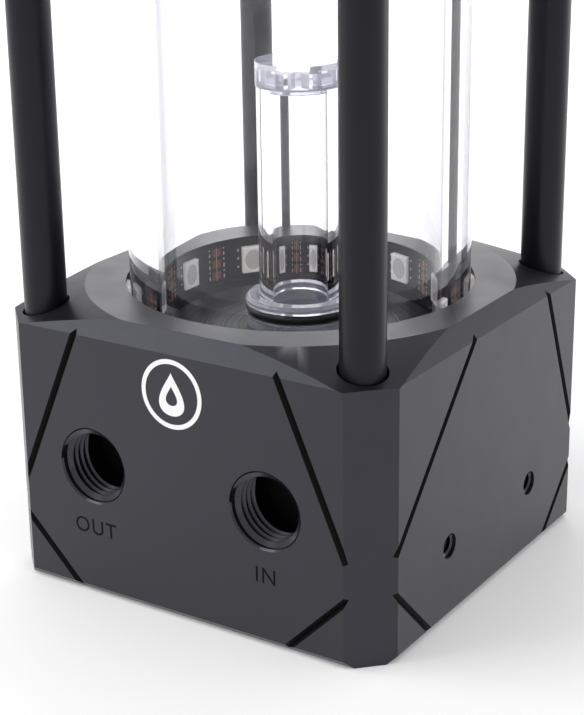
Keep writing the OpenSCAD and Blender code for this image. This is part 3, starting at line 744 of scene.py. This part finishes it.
class RESERVOIR_OT_marks(bpy.types.Operator):
    """Plain round badge with a drop, and the port labels, on the port face"""

    bl_idname = "reservoir.marks"
    bl_label = "Marks"

    def execute(self, context):
        """Builds the marks."""
        s = context.scene.reservoir_marks
        white = plain_finish("white_enamel_infill", "#eeeeee", s.paint, 0.2 * MM, 0.45)
        # the labels take the same painted shade, in place of cut letters
        dark = bpy.data.materials["engraving_painted_shade"]
        paint(self.ring("badge_ring", s), white)
        paint(self.drop("badge_drop", s), white)
        for text, port in (("OUT", "out_port"), ("IN", "in_port")):
            x, z = mount(port)["pos_m"][0], 12.6 * MM
            paint(self.label(text, x, z, s.letters), dark)
        return {"FINISHED"}

    def plate(self, name, inner, outer):
        """Thin painted band on the port face between two closed outlines of (x, z) points."""
        n = len(inner)
        rows = []
        for outline, y in ((inner, 0.05), (inner, -0.04), (outer, -0.04), (outer, 0.05)):
            rows.append(np.stack([outline[:, 0], np.full(n, -HALF + y * MM), outline[:, 1]], 1))
        faces = grid_faces(4, n, True, True)
        return mesh_object(name, np.concatenate(rows), faces, "reservoir", "light_lens", angle=30)

    def centre(self):
        """Middle of the badge on the port face, as (x, z)."""
        return np.array([-0.2 * MM, 40.6 * MM])

    def ring(self, name, s):
        """Two circles about the badge's centre."""
        a = np.linspace(0, TURN, 96, endpoint=False)
        circle = np.stack([np.cos(a), np.sin(a)], 1)
        return self.plate(name, self.centre() + circle * (s.badge - s.line), self.centre() + circle * s.badge)

    def drop(self, name, s):
        """A drop: a circle whose upper half is drawn out to a point, x = -r sin a sin(a/2)^1.5 and
        z = r cos a, with a smaller one about a centre in its lower half."""
        a = np.linspace(0, TURN, 97)[:-1]
        shape = np.stack([-np.sin(a) * np.sin(a / 2) ** 1.5, np.cos(a)], 1)
        size = 0.52 * s.badge
        outer = self.centre() + shape * size * np.array([1.15, 1.2])
        middle = self.centre() - np.array([0, 0.16 * size])
        inner = middle + (outer - middle) * 0.45
        return self.plate(name, inner, outer)

    def label(self, text, x, z, height):
        """A word in a plain sans face, as a thin dark plate on the port face: painted shade where the
        real letters are cut in.
        """
        curve = bpy.data.curves.new(f"label_{text}", "FONT")
        curve.body = text
        curve.size = height / 0.7
        curve.align_x = "CENTER"
        curve.align_y = "CENTER"
        curve.extrude = 0.01 * MM
        curve.space_character = 1.12
        source = bpy.data.objects.new(f"label_{text}", curve)
        bpy.context.scene.collection.objects.link(source)
        bpy.context.view_layer.update()
        mesh = bpy.data.meshes.new_from_object(source)
        bpy.data.objects.remove(source)
        place = Matrix.Translation((x, -HALF - 0.005 * MM, z)) @ Matrix.Rotation(math.radians(90), 4, "X")
        mesh.transform(place)
        closed = bmesh.new()
        closed.from_mesh(mesh)
        bmesh.ops.remove_doubles(closed, verts=closed.verts, dist=0.001 * MM)
        closed.to_mesh(mesh)
        closed.free()
        mesh.name = f"label_{text.lower()}_port"
        obj = bpy.data.objects.new(mesh.name, mesh)
        bpy.context.scene.collection.objects.link(obj)
        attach(obj, "reservoir")
        return obj


class RESERVOIR_OT_tank(bpy.types.Operator):
    """Glass tank tube with polished ends, and its seals"""

    bl_idname = "reservoir.tank"
    bl_label = "Tank"

    def execute(self, context):
        """Builds the tank tube."""
        s = context.scene.reservoir_tank
        glass = clear_solid("borosilicate_glass", s.glass, s.glass_edge, s.glass_ior)
        r, z0, z1 = high("glass_tube")[0], low("glass_tube")[2], high("glass_tube")[2]
        wall = 5 * MM
        outline = rounded([[r - wall, z0], [r, z0], [r, z1], [r - wall, z1]], s.edge)
        tube = revolve("tank_tube_drawn", outline, "reservoir", "clear_glass", segments=256)
        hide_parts("glass_tube")
        paint(tube, glass)
        rubber = plain_finish("black_seal_rubber", "#0c0c0d", "#141415", 0.2 * MM, 0.5, depth=0.01 * MM)
        for node in ("lower_tube_seal", "upper_tube_seal", "riser_seal", "can_seal",
                     "fill_plug_seal", "spare_plug_seal"):
            paint(frame["nodes"][node], rubber)
        return {"FINISHED"}


class RESERVOIR_OT_riser(bpy.types.Operator):
    """Clear riser tube, its foot and its windowed cap"""

    bl_idname = "reservoir.riser"
    bl_label = "Riser"

    def execute(self, context):
        """Builds the riser."""
        s = context.scene.reservoir_tank
        acrylic = clear_solid("cast_acrylic", s.acrylic, s.acrylic_edge, s.acrylic_ior)
        turned_acrylic = clear_solid("turned_acrylic", "#ededf3", s.acrylic_edge, s.acrylic_ior, 0.06, 0.22)
        r, z0, z1 = high("riser_tube")[0], low("riser_tube")[2], high("riser_tube")[2]
        bore = 4.9 * MM
        outline = rounded([[bore, z0], [r, z0], [r, z1], [bore, z1]], 0.15 * MM)
        tube = revolve("riser_tube_drawn", outline, "reservoir", "clear_glass", segments=160)
        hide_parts("riser_tube")
        paint(tube, acrylic)
        for node in ("riser_foot", "riser_cap"):
            piece = clean_copy(node, f"{node}_turned")
            round_edges(piece, 0.08 * MM, 40)
            paint(piece, turned_acrylic)
        return {"FINISHED"}


class RESERVOIR_OT_light_strip(bpy.types.Operator):
    """Film, light packages, copper pads and plain white print of the light strip"""

    bl_idname = "reservoir.light_strip"
    bl_label = "Light strip"

    def execute(self, context):
        """Builds the strip's details."""
        s = context.scene.reservoir_strip
        film = plain_finish("solder_mask_film", "#0c0c0e", s.film, 0.3 * MM, 0.4)
        paint(frame["nodes"]["light_strip"], film)
        # Painted light: the packages and lenses emit a faint light though the strip is switched off, so they
        # show lighter behind the glass.
        package = plain_finish("moulded_white_resin_painted_glow", "#f4f4f2", s.package, 0.15 * MM, 0.4,
                               Emission_Color=linear("#fff8ee"), Emission_Strength=0.22)
        lens = plain_finish("cast_epoxy_lens_painted_glow", "#d3d0c8", s.lens, 0.5 * MM, 0.18,
                            Emission_Color=linear("#f2e8d8"), Emission_Strength=0.12)
        die = plain_finish("gilded_die", "#6d5a35", "#8a7a52", 0.1 * MM, 0.3, metallic=0.8)
        copper = plain_finish("tinned_copper_pad", "#93502f", s.copper, 0.2 * MM, 0.42)
        ink = plain_finish("white_screen_print", "#d8d8d8", "#ededed", 0.1 * MM, 0.6)
        places = self.places()
        body = mesh_object("light_package_bodies", *joined([self.package(s, a) for a in places]),
                           "reservoir", "light_lens", angle=30)
        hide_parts("light_packages")
        paint(body, package)
        paint(mesh_object("light_package_lenses", *joined([self.lens(s, a) for a in places]),
                          "reservoir", "light_lens", angle=30), lens)
        paint(self.small("light_package_dies", [
            (a, dy, dz, 0.42, 0.42, self.face + 0.36 * MM)
            for a in places for dy, dz in ((-0.55, 0.5), (0.5, 0.55), (0.0, -0.6))
        ]), die)
        cuts = [a + self.step / 2 for a in places[:-1]]
        paint(self.small("copper_pads", [
            (a, dy, dz, s.pad_width / MM, s.pad_height / MM, self.wall)
            for a in cuts for dy in (-0.68, 0.68) for dz in (-2.25, 0, 2.25)
        ]), copper)
        paint(self.small("white_print", self.print_marks(places, cuts)), ink)
        return {"FINISHED"}

    def places(self):
        """Angles of the light packages, read from the CAD solids' points."""
        data = frame["nodes"]["light_packages"].data
        points = np.zeros(len(data.vertices) * 3)
        data.vertices.foreach_get("co", points)
        points = points.reshape(-1, 3)
        self.face = np.min(np.abs(points[:, 0] * 0 + np.hypot(points[:, 0], points[:, 1])))
        self.wall = high("light_strip")[0] * 0 + self.strip_radius()
        angle = np.sort(np.degrees(np.arctan2(points[:, 1], points[:, 0])))
        gaps = np.diff(np.append(angle, angle[0] + 360))
        cut = np.argmax(gaps)
        angle = np.roll(angle, -(cut + 1))
        angle = np.where(angle < angle[0], angle + 360, angle)
        groups = np.split(angle, np.where(np.diff(angle) > 10)[0] + 1)
        middles = np.radians([(g[0] + g[-1]) / 2 for g in groups])
        self.step = middles[1] - middles[0]
        self.middle_z = (low("light_packages")[2] + high("light_packages")[2]) / 2
        return middles

    def strip_radius(self):
        """Inner radius of the strip's film."""
        data = frame["nodes"]["light_strip"].data
        points = np.zeros(len(data.vertices) * 3)
        data.vertices.foreach_get("co", points)
        return np.min(np.hypot(points[0::3], points[1::3]))

    def package(self, s, angle):
        """Square package with a round cup: rings of points that go from the square rim to the
        round cup, as r = half the side over the larger of |cos a| and |sin a| on the square."""
        half, rim = 2.5 * MM, 0.12 * MM
        a = np.linspace(0, TURN, 64, endpoint=False)
        square = 1 / np.maximum(np.abs(np.cos(a)), np.abs(np.sin(a)))
        cup = s.lens_radius
        rings = [(0 * a, 1.35), (square * half, 1.35), (square * half, 0.12), (square * (half - rim), 0.0),
                 (0 * a + cup, 0.0), (0 * a + cup * 0.9, 0.32), (0 * a, 0.32)]
        return self.ringed(rings, a, angle)

    def lens(self, s, angle):
        """Cast lens in the cup, a shallow disc just below the rim."""
        a = np.linspace(0, TURN, 48, endpoint=False)
        cup = s.lens_radius
        rings = [(0 * a, 0.30), (0 * a + 0.9 * cup, 0.30), (0 * a + 0.96 * cup, 0.1), (0 * a, 0.06)]
        return self.ringed(rings, a, angle)

    def ringed(self, rings, a, angle):
        """Closed skin through rings about the package's axis. A ring is (radii, depth in
        millimetres behind the front face), and the first and last shrink to their centre."""
        rows = [np.stack([self.face + 0 * a + d * MM, r * np.cos(a), r * np.sin(a) + self.middle_z], 1)
                for r, d in rings]
        n = len(a)
        inner = np.concatenate(rows[1:-1])
        points = np.concatenate([rows[0][:1], inner, rows[-1][:1]])
        faces = grid_faces(len(rings) - 2, n, False, True, start=1)
        i = np.arange(n)
        last = 1 + (len(rings) - 3) * n
        faces += np.stack([0 * i, 1 + i, 1 + (i + 1) % n], 1).tolist()
        faces += np.stack([0 * i + len(points) - 1, last + (i + 1) % n, last + i], 1).tolist()
        return turned(points, angle), faces

    def small(self, name, marks):
        """Thin plates on the strip, each (angle, offset across, offset up, width, height, radius)
        with offsets and sizes in millimetres."""
        parts = []
        for angle, across, up, width, height, radius in marks:
            points, faces = box_points((0.05 * MM, width * MM, height * MM), radius - 0.03 * MM)
            points = points + np.array([0, 0, self.middle_z + up * MM])
            parts.append((turned(points, angle + across * MM / radius), faces))
        return mesh_object(name, *joined(parts), "reservoir", "light_lens", smooth=False)

    def print_marks(self, places, cuts):
        """White print: a line between the pads, short dashes beside them and dots by the lights."""
        marks = [(a, 0, 0, 0.14, 6.6, self.wall) for a in cuts]
        for a in cuts:
            for side in (-1, 1):
                rows = [(-2.6, 0.7), (-1.5, 0.35), (-0.4, 0.8), (0.8, 0.45), (1.9, 0.7), (2.9, 0.3)]
                marks += [(a, side * 2.0, z, 0.32, h, self.wall) for z, h in rows]
        for a in places:
            for side in (-1, 1):
                marks += [(a, side * 3.35, z, 0.45, 0.45, self.wall) for z in (1.9, 0.3, -1.4)]
        return marks


class RESERVOIR_OT_rods(bpy.types.Operator):
    """Rod sleeves, tie rods and cap nuts"""

    bl_idname = "reservoir.rods"
    bl_label = "Rods"

    def execute(self, context):
        """Builds the rods."""
        satin = anodised_aluminium("satin_anodised_tube", "#08080a", "#0b0b0d", 0.36, 0.12 * MM, sheen=0.26)
        black = plain_finish("black_oxide_steel", "#121213", "#1c1c1e", 0.1 * MM, 0.4, metallic=0.6)
        steel = plain_finish("turned_stainless_steel", "#9a9a9c", "#adadaf", 0.2 * MM, 0.3, metallic=1.0)
        for place in ("front_left", "front_right", "rear_right", "rear_left"):
            node = f"{place}_sleeve"
            lo, hi = low(node), high(node)
            r, mid = (hi[0] - lo[0]) / 2, (lo + hi) / 2
            bore = 2.05 * MM
            outline = rounded([[bore, lo[2]], [r, lo[2]], [r, hi[2]], [bore, hi[2]]], 0.3 * MM)
            sleeve = revolve(f"{node}_drawn", outline, "reservoir", "satin_black_sleeve",
                             at=(mid[0], mid[1]), segments=96)
            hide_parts(node)
            paint(sleeve, satin)
        paint(frame["nodes"]["tie_rods"], steel)
        nuts = clean_copy("cap_nuts", "cap_nuts_turned")
        round_edges(nuts, 0.2 * MM)
        paint(nuts, black)
        return {"FINISHED"}


class RESERVOIR_OT_plugs(bpy.types.Operator):
    """Stop plugs of the top cap with their screw threads"""

    bl_idname = "reservoir.plugs"
    bl_label = "Plugs"

    def execute(self, context):
        """Builds the plugs."""
        s = context.scene.reservoir_threads
        black = bpy.data.materials["black_oxide_steel"]
        for name in ("fill", "spare"):
            plug = clean_copy(f"{name}_plug", f"{name}_plug_turned")
            middle = (low(f"{name}_plug") + high(f"{name}_plug")) / 2
            radius, foot, crown = self.shank(plug.data, middle, s.plug_depth)
            round_edges(plug, 0.15 * MM)
            paint(plug, black)
            start = np.array([middle[0], middle[1], foot + 0.7 * s.port_pitch])
            run = crown - foot - 2.4 * s.port_pitch
            paint(screw_thread(f"{name}_plug_thread", start, np.array([0, 0, 1.0]), radius, s.plug_depth,
                               s.port_pitch, run, f"{name}_plug_body", "black_screw", True), black)
        return {"FINISHED"}

    def shank(self, mesh, middle, depth):
        """Turns the shank down to the core of its thread, and returns the core's radius and the
        heights of the shank's ends."""
        points = np.zeros(3 * len(mesh.vertices))
        mesh.vertices.foreach_get("co", points)
        points = points.reshape(-1, 3)
        offset = points[:, :2] - middle[:2]
        away = np.hypot(offset[:, 0], offset[:, 1])
        foot, crown = points[:, 2].min(), high("top_cap")[2]
        outer = away[points[:, 2] < foot + 0.1 * MM].max()
        rim = (points[:, 2] < crown - 0.1 * MM) & (np.abs(away - outer) < 0.1 * MM)
        points[rim, :2] = middle[:2] + offset[rim] * (outer - depth) / outer
        mesh.vertices.foreach_set("co", points.ravel())
        return outer - depth, foot, crown


class RESERVOIR_OT_pump(bpy.types.Operator):
    """Finishes of the pump's pieces, which show from beneath"""

    bl_idname = "reservoir.pump"
    bl_label = "Pump"

    def execute(self, context):
        """Paints the pump."""
        finishes = {
            "motor_housing": plain_finish("moulded_glass_filled_nylon", "#151516", "#1e1e20",
                                          0.4 * MM, 0.55, depth=0.02 * MM),
            "isolation_can": plain_finish("natural_moulded_pps", "#a89f8b", "#b8af9c", 0.5 * MM, 0.5),
            "impeller": plain_finish("natural_moulded_ppe", "#c9c4b6", "#d6d2c6", 0.5 * MM, 0.45),
            "rotor_magnet": plain_finish("sintered_ferrite", "#2f2f31", "#3c3c3e", 0.2 * MM, 0.6),
            "rotor_bush": plain_finish("carbon_graphite", "#1b1b1c", "#262627", 0.1 * MM, 0.4),
            "pump_shaft": plain_finish("ground_alumina", "#e9e6dc", "#f1efe7", 0.2 * MM, 0.2),
            "stator_core": plain_finish("stamped_lamination_steel", "#6c6c6f", "#7e7e82",
                                        0.35 * MM, 0.45, metallic=0.9),
            "stator_windings": plain_finish("enamelled_copper_wire", "#8a431f", "#a8552b",
                                            0.3 * MM, 0.35, metallic=0.7),
            "driver_board": plain_finish("green_circuit_board", "#0b3a1c", "#11502a", 0.6 * MM, 0.35),
            "clamp_ring": bpy.data.materials["turned_stainless_steel"],
            "clamp_screws": bpy.data.materials["turned_stainless_steel"],
        }
        for node, mat in finishes.items():
            paint(frame["nodes"][node], mat)
        return {"FINISHED"}


OPERATORS = (
    RESERVOIR_OT_studio,
    RESERVOIR_OT_blocks,
    RESERVOIR_OT_threads,
    RESERVOIR_OT_marks,
    RESERVOIR_OT_tank,
    RESERVOIR_OT_riser,
    RESERVOIR_OT_light_strip,
    RESERVOIR_OT_rods,
    RESERVOIR_OT_plugs,
    RESERVOIR_OT_pump,
)

SETTINGS = {
    "reservoir_block": ReservoirBlockSettings,
    "reservoir_threads": ReservoirThreadSettings,
    "reservoir_tank": ReservoirTankSettings,
    "reservoir_strip": ReservoirStripSettings,
    "reservoir_marks": ReservoirMarkSettings,
    "reservoir_studio": ReservoirStudioSettings,
}


class RESERVOIR_PT_panel(bpy.types.Panel):
    """Lists the steps that dress the reservoir"""

    bl_idname = "RESERVOIR_PT_panel"
    bl_label = "Coolant pump reservoir"
    bl_space_type = "VIEW_3D"
    bl_region_type = "UI"
    bl_category = "Reservoir"

    def draw(self, context):
        """Draws one button for each step."""
        for operator in OPERATORS:
            self.layout.operator(operator.bl_idname)


def register():
    """Registers the settings, the operators and the panel."""
    for name, group in SETTINGS.items():
        bpy.utils.register_class(group)
        setattr(bpy.types.Scene, name, bpy.props.PointerProperty(type=group))
    for operator in OPERATORS:
        bpy.utils.register_class(operator)
    bpy.utils.register_class(RESERVOIR_PT_panel)


def unregister():
    """Removes what register added."""
    bpy.utils.unregister_class(RESERVOIR_PT_panel)
    for operator in reversed(OPERATORS):
        bpy.utils.unregister_class(operator)
    for name, group in SETTINGS.items():
        delattr(bpy.types.Scene, name)
        bpy.utils.unregister_class(group)


def main():
    """Dresses the whole part in order."""
    register()
    for operator in OPERATORS:
        group, step = operator.bl_idname.split(".")
        getattr(getattr(bpy.ops, group), step)()


if __name__ == "__main__":
    main()
